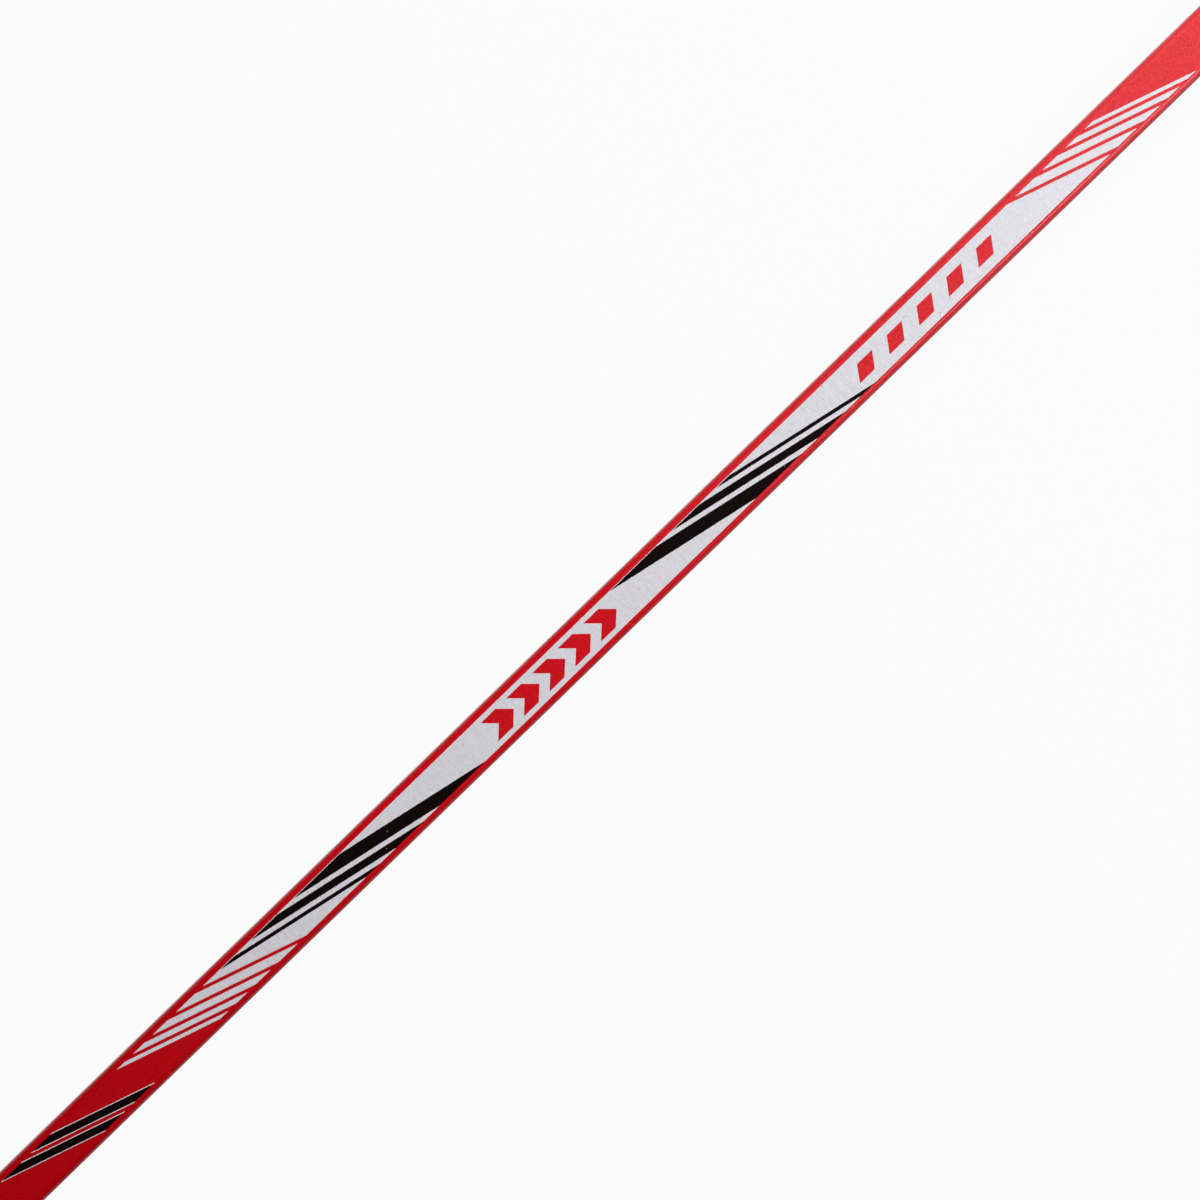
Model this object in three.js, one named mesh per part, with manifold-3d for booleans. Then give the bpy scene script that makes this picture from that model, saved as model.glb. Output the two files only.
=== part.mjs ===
// Junior ringette stick: a laminated wood shaft in a glass cloth wrap, with a moulded tip and a butt cap.
// Millimetres, +Z up. The stick lies on its back face along X, tip towards -X and butt towards +X.
// The origin is under the middle of the stick, on the surface that it lies on.

import * as THREE from "three";
import { mergeVertices } from "three/addons/utils/BufferGeometryUtils.js";
import Module from "manifold-3d";

const wasm = await Module();
wasm.setup();

// Whole stick
const stickLength = 1180;
const shaftWidth = 27;
const shaftCornerRadius = 4;

// Clearances: bond lines between glued pieces, the shadow line at each shoulder, cuts past a face
const bondGap = 0.3;
const shoulderGap = 0.3;
const cutOverrun = 2;

// Layers of the shaft, from the middle of its thickness outwards
const corePlyCount = 9;
const corePlyThickness = 1.2;
const facePlyThickness = 2.2;
const glassLaminateThickness = 0.5;
const wrapWall = 0.6;
const filmThickness = 0.2;

// Taper of the shaft's width down to the tip
const taperLength = 76;
const neckWidth = 23;

// Printed film on each wide face
const filmEndMargin = 5;
const filmCornerRadius = 3;

// Moulded tip: a socket over the wooden spigot, then a solid grooved nose
const spigotLength = 44;
const tipWebThickness = 4;
const tipWall = 3.1;
const tipNoseWidth = 19;
const tipNoseThickness = 14.6;
const tipNoseCornerRadius = 6.2;
const tipGrooveCount = 8;
const tipGroovePitch = 4.1;
const tipGrooveWidth = 1.9;
const tipGrooveDepth = 1.1;
const tipGrooveDraft = 0.5;
const tipRoundLength = 6.5;
const tipRoundInset = 5.4;
const tipLipBevel = 0.5;

// Countersunk wood screws, one through each wide face of the tip
const screwLength = 12;
const screwHeadRadius = 3.3;
const screwHeadEdge = 0.3;
const screwHeadDepth = 2.1;
const screwSink = 0.2;
const screwCoreRadius = 1.15;
const screwCrestRadius = 1.75;
const screwThreadPitch = 1.4;
const screwPointLength = 2.6;
const screwRecessWidth = 0.9;
const screwRecessSpan = 3.6;
const screwRecessDepth = 1.3;
const screwShoulderInset = 14;
const screwSpacing = 15;

// Moulded rubber butt cap over the wooden tenon
const tenonLength = 34;
const capEndThickness = 5;
const capWall = 3.1;
const capEndWidth = 26;
const capEndDepth = 17;
const capEndCornerRadius = 4.6;
const capGrooveCount = 4;
const capGroovePitch = 4.4;
const capGrooveWidth = 1.8;
const capGrooveDepth = 0.7;
const capGrooveDraft = 0.4;
const capGrooveInset = 8;
const capRoundLength = 3.4;
const capRoundInset = 3.2;
const capLipBevel = 0.5;

// Facets of the curves
const cornerSteps = 5;
const domeSteps = 5;
const plySideSteps = 2;
const screwSides = 16;

// Thicknesses that follow from the layers
const corePlyStack = corePlyCount * corePlyThickness;
const glassOuterZ = corePlyStack / 2 + facePlyThickness + glassLaminateThickness;
const shaftThickness = 2 * (glassOuterZ + bondGap + wrapWall);
const coreInset = wrapWall + bondGap;

// Stations along the stick
const tipGrooveStart = spigotLength + tipWebThickness;
const tipLength = tipGrooveStart + tipGrooveCount * tipGroovePitch + tipRoundLength;
const capLength = tenonLength + capEndThickness;
const tipEndX = -stickLength / 2;
const tipShoulderX = tipEndX + tipLength;
const taperStartX = tipShoulderX + taperLength;
const buttEndX = stickLength / 2;
const buttShoulderX = buttEndX - capLength;
const filmTipX = taperStartX + filmEndMargin;
const filmButtX = buttShoulderX - filmEndMargin;

const finishes = {
  core: new THREE.MeshStandardMaterial({ color: 0xd9bf92, roughness: 0.8, metalness: 0 }),
  face: new THREE.MeshStandardMaterial({ color: 0xe4cfa6, roughness: 0.75, metalness: 0 }),
  glass: new THREE.MeshStandardMaterial({ color: 0xd8ddc8, roughness: 0.5, metalness: 0 }),
  lacquer: new THREE.MeshStandardMaterial({ color: 0xc21420, roughness: 0.35, metalness: 0 }),
  film: new THREE.MeshStandardMaterial({ color: 0xc8141f, roughness: 0.4, metalness: 0 }),
  nylon: new THREE.MeshStandardMaterial({ color: 0x17171a, roughness: 0.55, metalness: 0 }),
  rubber: new THREE.MeshStandardMaterial({ color: 0x1c1b1d, roughness: 0.8, metalness: 0 }),
  steel: new THREE.MeshStandardMaterial({ color: 0xb4b6ba, roughness: 0.3, metalness: 1 }),
};

// A rounded rectangle in the YZ plane, counter-clockwise seen from +X
function roundedSection(halfWidth, halfThickness, radius) {
  const corners = [
    [1, 1],
    [-1, 1],
    [-1, -1],
    [1, -1],
  ];
  return corners.flatMap(([sideY, sideZ], quarter) =>
    Array.from({ length: cornerSteps + 1 }, (_, step) => {
      const angle = (Math.PI / 2) * (quarter + step / cornerSteps);
      return [
        sideY * (halfWidth - radius) + radius * Math.cos(angle),
        sideZ * (halfThickness - radius) + radius * Math.sin(angle),
      ];
    }),
  );
}

// The part of a rounded rectangle that lies between two heights, as one layer of the lamination
function layerSection(halfWidth, halfThickness, radius, lowZ, highZ) {
  const halfWidthAt = (z) => {
    const intoCorner = Math.max(0, Math.abs(z) - (halfThickness - radius));
    return halfWidth - radius + Math.sqrt(Math.max(0, radius * radius - intoCorner * intoCorner));
  };
  const side = Array.from({ length: plySideSteps + 1 }, (_, step) => {
    const z = step === plySideSteps ? highZ : lowZ + ((highZ - lowZ) * step) / plySideSteps;
    return [halfWidthAt(z), z];
  });
  return [...side, ...side.map(([y, z]) => [-y, z]).reverse()];
}

// A closed body through sections with equal point counts, given from low X to high X
function loft(stations) {
  const count = stations[0].section.length;
  const vertices = stations.flatMap(({ x, section }) => section.flatMap(([y, z]) => [x, y, z]));
  const indices = [];
  for (let ring = 0; ring < stations.length - 1; ring++) {
    for (let point = 0; point < count; point++) {
      const next = (point + 1) % count;
      const [low, lowNext] = [ring * count + point, ring * count + next];
      indices.push(low, lowNext, lowNext + count, low, lowNext + count, low + count);
    }
  }
  const lastRing = (stations.length - 1) * count;
  const outline = (section) => section.map(([y, z]) => new THREE.Vector2(y, z));
  for (const [a, b, c] of THREE.ShapeUtils.triangulateShape(outline(stations[0].section), [])) {
    indices.push(a, c, b);
  }
  for (const [a, b, c] of THREE.ShapeUtils.triangulateShape(outline(stations.at(-1).section), [])) {
    indices.push(lastRing + a, lastRing + b, lastRing + c);
  }
  const geometry = new THREE.BufferGeometry();
  geometry.setAttribute("position", new THREE.Float32BufferAttribute(vertices, 3));
  geometry.setIndex(indices);
  geometry.computeVertexNormals();
  return geometry;
}

function solidFrom(geometry) {
  const bare = geometry.clone();
  bare.deleteAttribute("normal");
  bare.deleteAttribute("uv");
  const merged = mergeVertices(bare);
  const vertProperties = merged.attributes.position.array;
  const triVerts = new Uint32Array(merged.index.array);
  return new wasm.Manifold(new wasm.Mesh({ numProp: 3, vertProperties, triVerts }));
}

function geometryFrom(solid) {
  const { vertProperties, triVerts } = solid.getMesh();
  const geometry = new THREE.BufferGeometry();
  geometry.setAttribute("position", new THREE.BufferAttribute(vertProperties, 3));
  geometry.setIndex(new THREE.BufferAttribute(triVerts, 1));
  const faceted = geometry.toNonIndexed();
  faceted.computeVertexNormals();
  return faceted;
}

function cut(geometry, ...cutters) {
  const left = cutters.reduce((solid, cutter) => solid.subtract(solidFrom(cutter)), solidFrom(geometry));
  return geometryFrom(left);
}

const lerp = THREE.MathUtils.lerp;

// Stick's outer half width at a place along it
function shaftHalfWidthAt(x) {
  const share = THREE.MathUtils.clamp((x - tipShoulderX) / taperLength, 0, 1);
  return lerp(neckWidth, shaftWidth, share) / 2;
}

// The lengths of the shaft that keep one slope: butt shoulder, start of the taper, tip shoulder
const shaftStations = [tipShoulderX, taperStartX, buttShoulderX];

function shaftSkin(inset) {
  return shaftStations.map((x) => ({
    x,
    section: roundedSection(shaftHalfWidthAt(x) - inset, shaftThickness / 2 - inset, shaftCornerRadius - inset),
  }));
}

function stretched(stations, overrun) {
  const [first, last] = [stations[0], stations.at(-1)];
  return [{ ...first, x: first.x - overrun }, ...stations, { ...last, x: last.x + overrun }];
}

// Half widths of the bare wood inside the tip and inside the cap
const spigotHalfWidth = neckWidth / 2 - tipWall - bondGap;
const tenonHalfWidth = shaftWidth / 2 - capWall - bondGap;

function shaftLayer(lowZ, highZ) {
  return shaftStations.map((x) => ({
    x,
    section: layerSection(
      shaftHalfWidthAt(x) - coreInset,
      glassOuterZ,
      shaftCornerRadius - coreInset,
      lowZ,
      highZ,
    ),
  }));
}

function corePly(lowZ, highZ) {
  const square = (x, halfWidth) => ({ x, section: layerSection(halfWidth, glassOuterZ, 0, lowZ, highZ) });
  return loft([
    square(tipShoulderX - spigotLength, spigotHalfWidth),
    square(tipShoulderX, spigotHalfWidth),
    ...shaftLayer(lowZ, highZ),
    square(buttShoulderX, tenonHalfWidth),
    square(buttShoulderX + tenonLength, tenonHalfWidth),
  ]);
}

// Film: the flat of a wide face, with rounded corners, extruded upwards by its thickness
function filmGeometry() {
  const halfWidth = shaftWidth / 2 - shaftCornerRadius;
  const [r, left, right] = [filmCornerRadius, filmTipX, filmButtX];
  const outline = new THREE.Shape();
  outline.moveTo(left + r, -halfWidth);
  outline.lineTo(right - r, -halfWidth);
  outline.absarc(right - r, -halfWidth + r, r, -Math.PI / 2, 0, false);
  outline.absarc(right - r, halfWidth - r, r, 0, Math.PI / 2, false);
  outline.absarc(left + r, halfWidth - r, r, Math.PI / 2, Math.PI, false);
  outline.absarc(left + r, -halfWidth + r, r, Math.PI, (3 * Math.PI) / 2, false);
  const settings = { depth: filmThickness, bevelEnabled: false, curveSegments: cornerSteps };
  return new THREE.ExtrudeGeometry(outline, settings);
}

// A moulded end piece: its outside from the mouth to the rounded end, as distances from the mouth.
// The section runs straight from the mouth's to the end's, less the inset at each place.
function mouldedOutside(form) {
  const { mouth, end, length, lipBevel, grooves, roundLength, roundInset } = form;
  const places = [
    { along: 0, inset: lipBevel },
    { along: lipBevel, inset: 0 },
  ];
  for (let groove = 0; groove < grooves.count; groove++) {
    const start = grooves.start + groove * grooves.pitch;
    places.push(
      { along: start, inset: 0 },
      { along: start + grooves.draft, inset: grooves.depth },
      { along: start + grooves.width - grooves.draft, inset: grooves.depth },
      { along: start + grooves.width, inset: 0 },
    );
  }
  for (let step = 0; step <= domeSteps; step++) {
    const angle = ((Math.PI / 2) * step) / domeSteps;
    places.push({
      along: length - roundLength * (1 - Math.sin(angle)),
      inset: roundInset * (1 - Math.cos(angle)),
    });
  }
  return places.map(({ along, inset }) => {
    const share = along / length;
    const halfWidth = lerp(mouth.width, end.width, share) / 2;
    const halfThickness = lerp(mouth.thickness, end.thickness, share) / 2;
    const radius = lerp(mouth.radius, end.radius, share);
    const shrink = (halfThickness - inset) / halfThickness;
    return { along, section: roundedSection(halfWidth - inset, halfThickness - inset, radius * shrink) };
  });
}

// A straight-sided socket that opens at the mouth
function socketCutter(lowX, highX, halfWidth) {
  const halfThickness = corePlyStack / 2 + bondGap;
  const section = [
    [halfWidth, -halfThickness],
    [halfWidth, halfThickness],
    [-halfWidth, halfThickness],
    [-halfWidth, -halfThickness],
  ];
  return loft([
    { x: lowX, section },
    { x: highX, section },
  ]);
}

const tipForm = {
  mouth: { width: neckWidth, thickness: shaftThickness, radius: shaftCornerRadius },
  end: { width: tipNoseWidth, thickness: tipNoseThickness, radius: tipNoseCornerRadius },
  length: tipLength - shoulderGap,
  lipBevel: tipLipBevel,
  grooves: {
    start: tipGrooveStart - shoulderGap,
    count: tipGrooveCount,
    pitch: tipGroovePitch,
    width: tipGrooveWidth,
    depth: tipGrooveDepth,
    draft: tipGrooveDraft,
  },
  roundLength: tipRoundLength,
  roundInset: tipRoundInset,
};

const capForm = {
  mouth: { width: shaftWidth, thickness: shaftThickness, radius: shaftCornerRadius },
  end: { width: capEndWidth, thickness: capEndDepth, radius: capEndCornerRadius },
  length: capLength - shoulderGap,
  lipBevel: capLipBevel,
  grooves: {
    start: capGrooveInset,
    count: capGrooveCount,
    pitch: capGroovePitch,
    width: capGrooveWidth,
    depth: capGrooveDepth,
    draft: capGrooveDraft,
  },
  roundLength: capRoundLength,
  roundInset: capRoundInset,
};

// Screws: head upwards at the origin, shank down -Z
function turned(profile) {
  const points = profile.map(([radius, height]) => new THREE.Vector2(radius, height));
  return new THREE.LatheGeometry(points, screwSides).rotateX(Math.PI / 2);
}

function screwGeometry() {
  const threadStart = -(screwHeadDepth + screwThreadPitch);
  const threadEnd = -(screwLength - screwPointLength);
  const crests = Math.floor((threadStart - threadEnd) / screwThreadPitch);
  const thread = Array.from({ length: crests }, (_, turn) => {
    const root = threadEnd + turn * screwThreadPitch;
    return [
      [screwCoreRadius, root],
      [screwCrestRadius, root + screwThreadPitch / 2],
    ];
  }).flat();
  const blank = turned([
    [0, -screwLength],
    ...thread,
    [screwCoreRadius, threadEnd + crests * screwThreadPitch],
    [screwCoreRadius, -screwHeadDepth],
    [screwHeadRadius, -screwHeadEdge],
    [screwHeadRadius, 0],
    [0, 0],
  ]);
  const depth = 2 * screwRecessDepth;
  const slot = new THREE.BoxGeometry(screwRecessSpan, screwRecessWidth, depth);
  const crossSlot = new THREE.BoxGeometry(screwRecessWidth, screwRecessSpan, depth);
  return cut(blank, slot, crossSlot);
}

// Room for a screw: its countersink, the sink above the head, and its pilot hole
function screwCutter() {
  return turned([
    [0, -screwLength - bondGap],
    [screwCrestRadius + bondGap, -screwLength - bondGap],
    [screwCrestRadius + bondGap, -screwHeadDepth - bondGap],
    [screwHeadRadius + bondGap, -screwHeadEdge - bondGap],
    [screwHeadRadius + bondGap, cutOverrun],
    [0, cutOverrun],
  ]);
}

// The tip's outside falls away from its mouth, so each head follows the face where it sits
const screwHeadXs = [tipShoulderX - screwShoulderInset, tipShoulderX - screwShoulderInset - screwSpacing];
const screwPlaces = screwHeadXs.map((x, index) => {
  const share = (tipShoulderX - x) / tipLength;
  const faceZ = lerp(shaftThickness, tipNoseThickness, share) / 2;
  return { x, z: faceZ - screwSink, turn: index === 0 ? 0 : Math.PI };
});

function placed(geometry, { x, z, turn }) {
  return geometry.clone().translate(0, 0, z).rotateX(turn).translate(x, 0, 0);
}

const screwCutters = screwPlaces.map((place) => placed(screwCutter(), place));

const body = new THREE.Group();
body.position.z = shaftThickness / 2 + filmThickness;

function add(name, geometry, finish) {
  const mesh = new THREE.Mesh(geometry, finish);
  mesh.name = name;
  body.add(mesh);
  return mesh;
}

// Lamination: thin core plies, then a hardwood face ply and a glass laminate on each wide face
const plyPlanes = Array.from({ length: corePlyCount + 1 }, (_, i) => i * corePlyThickness - corePlyStack / 2);
for (let ply = 0; ply < corePlyCount; ply++) {
  const geometry = cut(corePly(plyPlanes[ply], plyPlanes[ply + 1]), ...screwCutters);
  add(`core_ply_${ply + 1}`, geometry, finishes.core);
}

const stackTop = plyPlanes[corePlyCount];
const facePlyTop = stackTop + facePlyThickness;
add("face_ply_front", loft(shaftLayer(stackTop, facePlyTop)), finishes.face);
add("face_ply_back", loft(shaftLayer(-facePlyTop, plyPlanes[0])), finishes.face);
add("glass_laminate_front", loft(shaftLayer(facePlyTop, glassOuterZ)), finishes.glass);
add("glass_laminate_back", loft(shaftLayer(-glassOuterZ, -facePlyTop)), finishes.glass);

// Wrap: a glass cloth sleeve in red lacquer round the whole lamination
const wrap = cut(loft(shaftSkin(0)), loft(stretched(shaftSkin(wrapWall), cutOverrun)));
add("glass_wrap", wrap, finishes.lacquer);

// Printed films on the front and the back
const film = filmGeometry();
add("print_film_front", film, finishes.film).position.z = shaftThickness / 2;
add("print_film_back", film, finishes.film).position.z = -shaftThickness / 2 - filmThickness;

// Moulded tip on the spigot
const tipMouthX = tipShoulderX - shoulderGap;
const tipOutside = mouldedOutside(tipForm).map(({ along, section }) => ({ x: tipMouthX - along, section }));
const tipSocket = socketCutter(
  tipShoulderX - spigotLength - bondGap,
  tipShoulderX + cutOverrun,
  spigotHalfWidth + bondGap,
);
add("tip", cut(loft(tipOutside.reverse()), tipSocket, ...screwCutters), finishes.nylon);

screwPlaces.forEach((place, index) => {
  const side = index === 0 ? "front" : "back";
  add(`tip_screw_${side}`, placed(screwGeometry(), place), finishes.steel);
});

// Rubber cap on the tenon
const capMouthX = buttShoulderX + shoulderGap;
const capOutside = mouldedOutside(capForm).map(({ along, section }) => ({ x: capMouthX + along, section }));
const capSocket = socketCutter(
  buttShoulderX - cutOverrun,
  buttShoulderX + tenonLength + bondGap,
  tenonHalfWidth + bondGap,
);
add("butt_cap", cut(loft(capOutside), capSocket), finishes.rubber);

const ringetteStick = new THREE.Group();
ringetteStick.name = "ringette_stick";
ringetteStick.add(body);

export default ringetteStick;
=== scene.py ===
# %% [markdown]
# # A printed ringette stick
#
# A ringette stick is a straight shaft with no blade. A player stabs its moulded tip into a rubber ring.
# This lesson dresses the CAD model of a junior stick: a laminated wood shaft in lacquered glass cloth,
# a printed film on both wide faces, a grooved nylon tip and a ribbed rubber cap.
#
# The CAD model comes in as a fixed frame. Each new piece goes where its CAD solid is, and takes that
# solid's place in the picture. The stick lies along X, with the tip towards -X and the print facing +Z.

# %% Load the CAD frame
import math

import bmesh
import bpy
from mathutils import Matrix, Vector


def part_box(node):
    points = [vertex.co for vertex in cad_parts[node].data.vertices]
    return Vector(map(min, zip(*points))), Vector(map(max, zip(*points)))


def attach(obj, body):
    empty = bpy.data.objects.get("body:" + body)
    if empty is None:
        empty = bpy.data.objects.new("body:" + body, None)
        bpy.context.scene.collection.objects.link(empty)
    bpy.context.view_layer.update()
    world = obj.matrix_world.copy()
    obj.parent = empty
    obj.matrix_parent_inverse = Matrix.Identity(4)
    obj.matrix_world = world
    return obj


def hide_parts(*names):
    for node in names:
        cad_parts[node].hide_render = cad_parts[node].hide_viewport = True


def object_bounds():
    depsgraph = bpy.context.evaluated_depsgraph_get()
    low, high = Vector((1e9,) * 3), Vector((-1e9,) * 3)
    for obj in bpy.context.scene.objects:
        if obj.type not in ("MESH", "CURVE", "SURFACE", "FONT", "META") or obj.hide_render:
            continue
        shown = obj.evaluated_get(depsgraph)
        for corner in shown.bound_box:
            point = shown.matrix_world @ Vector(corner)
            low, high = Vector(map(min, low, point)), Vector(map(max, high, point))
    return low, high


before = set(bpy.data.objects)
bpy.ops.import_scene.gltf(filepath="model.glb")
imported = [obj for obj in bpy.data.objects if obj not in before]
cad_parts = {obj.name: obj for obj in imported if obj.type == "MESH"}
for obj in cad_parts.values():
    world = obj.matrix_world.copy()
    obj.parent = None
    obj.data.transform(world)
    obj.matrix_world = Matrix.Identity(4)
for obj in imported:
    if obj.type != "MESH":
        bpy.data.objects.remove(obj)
cad_low, cad_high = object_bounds()

MM = 0.001
print("CAD box in mm:", [round(side / MM, 2) for side in cad_high - cad_low])

# %% [markdown]
# ## The camera
#
# The picture was taken from almost straight above with a long lens, so the shaft keeps one width right
# across it. A camera can be moved by eye until the edges match, but measuring is quicker and exact.
# The shaft's width in pixels gives the scale, and the place of its centre line gives the aim.

# %% Measure the picture
PHOTO_SIDE_PX = 1200
SHAFT_WIDTH_PX = 50.9
CENTRE_LINE_OFFSET_PX = 17.9
PICTURE_CENTRE_X = 29 * MM

shaft_low, shaft_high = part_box("glass_wrap")
pixel = (shaft_high.y - shaft_low.y) / SHAFT_WIDTH_PX
picture_side = PHOTO_SIDE_PX * pixel
target = Vector((PICTURE_CENTRE_X, CENTRE_LINE_OFFSET_PX * pixel, cad_high.z))
print("A pixel in mm:", round(pixel / MM, 3), "and the whole picture:", round(picture_side / MM, 1))

# %% [markdown]
# Two angles turn the camera. Its roll is the slope of the shaft in the picture. The rail of the shaft
# on the upper side is a little wider than the other, so the camera leans two degrees towards that side.
# The camera's three axes follow from them, and go into its matrix as they are.

# %% Place the camera
SHAFT_SLOPE = math.radians(44.18)
CAMERA_LEAN = math.radians(2.2)
CAMERA_DISTANCE = 3000 * MM
SENSOR_WIDTH = 36

along = Vector((1, 0, 0))
across = Vector((0, math.cos(CAMERA_LEAN), -math.sin(CAMERA_LEAN)))
towards_camera = along.cross(across)
right = math.cos(SHAFT_SLOPE) * along - math.sin(SHAFT_SLOPE) * across
up = math.sin(SHAFT_SLOPE) * along + math.cos(SHAFT_SLOPE) * across

lens = bpy.data.cameras.new("studio_camera")
lens.sensor_width = SENSOR_WIDTH
lens.lens = SENSOR_WIDTH * CAMERA_DISTANCE / picture_side
camera = bpy.data.objects.new("studio_camera", lens)
scene = bpy.context.scene
scene.collection.objects.link(camera)
turn = Matrix((right, up, towards_camera)).transposed().to_4x4()
camera.matrix_world = Matrix.Translation(target + CAMERA_DISTANCE * towards_camera) @ turn
scene.camera = camera
scene.view_settings.view_transform = "Standard"
print("Focal length in mm:", round(lens.lens, 1))

# %% [markdown]
# ## Colours and nodes
#
# Colours are written as sRGB hex values, as a paint chart gives them, and one function turns them into
# the linear values that shaders work in. The Standard view transform then shows them as written.

# %% Colours
SRGB_KNEE = 0.04045
SRGB_SLOPE = 12.92
SRGB_OFFSET = 0.055
SRGB_GAMMA = 2.4


def linear(hex_colour):
    """The linear RGBA of an sRGB colour such as "#c21420"."""
    channels = [int(hex_colour[place : place + 2], 16) / 255 for place in (1, 3, 5)]
    return [
        c / SRGB_SLOPE if c <= SRGB_KNEE else ((c + SRGB_OFFSET) / (1 + SRGB_OFFSET)) ** SRGB_GAMMA
        for c in channels
    ] + [1.0]


print("Red, for one, in linear values:", [round(c, 3) for c in linear("#c21420")])

# %% [markdown]
# A second function adds a node, sets it and links it, so that a material reads from top to bottom like
# a recipe. An input takes a number, a colour, a socket, or a whole node, whose main output it then uses.

# %% Nodes
def main_socket(sockets, name=None):
    """The first socket in use, or the one in use under that name."""
    return next(s for s in sockets if s.enabled and name in (None, s.name))


def add_node(tree, kind, inputs=None, **settings):
    """Adds a node with its settings. Each input takes a value, a socket, or a node's main output."""
    node = tree.nodes.new(kind)
    for name, value in settings.items():
        setattr(node, name, value)
    for name, value in (inputs or {}).items():
        socket = main_socket(node.inputs, name) if isinstance(name, str) else node.inputs[name]
        if isinstance(value, bpy.types.Node):
            value = main_socket(value.outputs)
        if isinstance(value, bpy.types.NodeSocket):
            tree.links.new(value, socket)
        else:
            socket.default_value = value
    return node


def new_material(name):
    """An empty material, and the node tree to build it in."""
    material = bpy.data.materials.new(name)
    material.use_nodes = True
    material.node_tree.nodes.clear()
    return material, material.node_tree


print("One helper adds every node:", add_node.__name__)

# %% [markdown]
# ## The studio
#
# The stick lies on a white table. The picture's background is pure white, so the table shows white to
# the camera, while the light that falls on the stick stays at a plain level. Light Path does that. It
# tells the rays that look, from the camera, off a glossy coat or through a clear one, from those that
# gather light.
#
# What looks at the table sees mostly plain white. The small rest is lit table, which keeps a soft trace
# of the stick's shadow. The table is far larger than any view of the stick, so its edge never shows.

# %% White table
TABLE_SIDE = 60000 * MM
TABLE_WHITE_SHARE = 0.955
TABLE_GREY = "#989898"
PURE_WHITE = "#ffffff"


def seen_by_eye(tree):
    """1 for what the camera, a reflection or a clear material sees, and 0 for all other light."""
    rays = add_node(tree, "ShaderNodeLightPath")
    seen = rays.outputs["Is Camera Ray"]
    for ray in ("Is Glossy Ray", "Is Transmission Ray"):
        seen = add_node(tree, "ShaderNodeMath", {0: seen, 1: rays.outputs[ray]}, operation="MAXIMUM")
    return seen


bpy.ops.mesh.primitive_plane_add(size=TABLE_SIDE, location=(0, 0, 0))
table = bpy.context.object
table.name = "white_table"

table_material, tree = new_material("matt_white_table_laminate")
share = add_node(
    tree, "ShaderNodeMath", {0: seen_by_eye(tree), 1: TABLE_WHITE_SHARE}, operation="MULTIPLY"
)
lit = add_node(tree, "ShaderNodeBsdfDiffuse", {"Color": linear(TABLE_GREY)})
plain = add_node(tree, "ShaderNodeEmission", {"Color": linear(PURE_WHITE), "Strength": 1.0})
both = add_node(tree, "ShaderNodeMixShader", {0: share, 1: lit, 2: plain})
add_node(tree, "ShaderNodeOutputMaterial", {"Surface": both})
table.data.materials.append(table_material)
print("Table side in m:", TABLE_SIDE, "and its share of plain white:", TABLE_WHITE_SHARE)

# %% [markdown]
# A low sweep of white paper stands all round behind the table, and shows in the same way to whatever
# looks. Above it the room is dark. It has to be, because the flat face mirrors the ceiling straight into
# the camera, and the black ink on that face is truly black in the picture.

# %% Paper sweep and dark room
PAPER_TOP = math.radians(8)
ROOM_STRENGTH = 0.03

world = bpy.data.worlds.new("studio_surroundings")
world.use_nodes = True
tree = world.node_tree
tree.nodes.clear()
direction = add_node(tree, "ShaderNodeTexCoord")
height = add_node(tree, "ShaderNodeSeparateXYZ", {"Vector": direction.outputs["Generated"]})
low = add_node(
    tree, "ShaderNodeMath", {0: height.outputs["Z"], 1: math.sin(PAPER_TOP)}, operation="LESS_THAN"
)
share = add_node(tree, "ShaderNodeMath", {0: seen_by_eye(tree), 1: low}, operation="MULTIPLY")
room = add_node(
    tree, "ShaderNodeBackground", {"Color": linear(PURE_WHITE), "Strength": ROOM_STRENGTH}
)
paper = add_node(tree, "ShaderNodeBackground", {"Color": linear(PURE_WHITE), "Strength": 1.0})
both = add_node(tree, "ShaderNodeMixShader", {0: share, 1: room, 2: paper})
add_node(tree, "ShaderNodeOutputWorld", {"Surface": both})
scene.world = world
print("Paper up to", round(math.degrees(PAPER_TOP)), "degrees, room strength", ROOM_STRENGTH)

# %% [markdown]
# Soft boxes light the stick. In the picture it grows brighter towards its butt end, both rails darken
# outwards, and a thin streak of gloss runs along the lower rail. So the main box stands beyond the butt
# end and shines along the stick. Two weak ones fill its sides, one hangs where the rounding of the lower
# rail mirrors it as that streak, and another keeps the tip out of the dark. None is near the camera,
# where the whole flat face would mirror it.
#
# Each box is set as on a studio stand: its bearing round the stick, its rise above the table, its
# distance, its side, and how much light it gives to the middle of the stick, where 1 makes a white
# surface just white. Its power follows from that, because light thins out with the square of the
# distance and with the slant at which it comes in.

# %% Soft boxes
SOFT_BOXES = {
    "butt_end_box": (15, 30, 3.5, 1.0, 0.7),
    "lower_side_box": (-60, 30, 3.0, 1.5, 0.05),
    "upper_side_box": (45, 60, 2.0, 1.0, 0.07),
    "streak_box": (-60, 50, 2.0, 0.6, 0.2),
    "tip_end_box": (165, 30, 2.5, 1.0, 0.01),
}

for name, (bearing, rise, distance, side, light) in SOFT_BOXES.items():
    sideways = math.cos(math.radians(rise))
    towards_box = Vector(
        (
            sideways * math.cos(math.radians(bearing)),
            sideways * math.sin(math.radians(bearing)),
            math.sin(math.radians(rise)),
        )
    )
    box = bpy.data.lights.new(name, "AREA")
    box.shape = "SQUARE"
    box.size = side
    box.energy = light * (math.pi * distance) ** 2 / towards_box.z
    lamp = bpy.data.objects.new(name, box)
    scene.collection.objects.link(lamp)
    lamp.location = distance * towards_box
    lamp.rotation_euler = towards_box.to_track_quat("Z", "Y").to_euler()
    lamp.visible_camera = False
    print(name, "power in W:", round(box.energy, 1))

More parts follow.
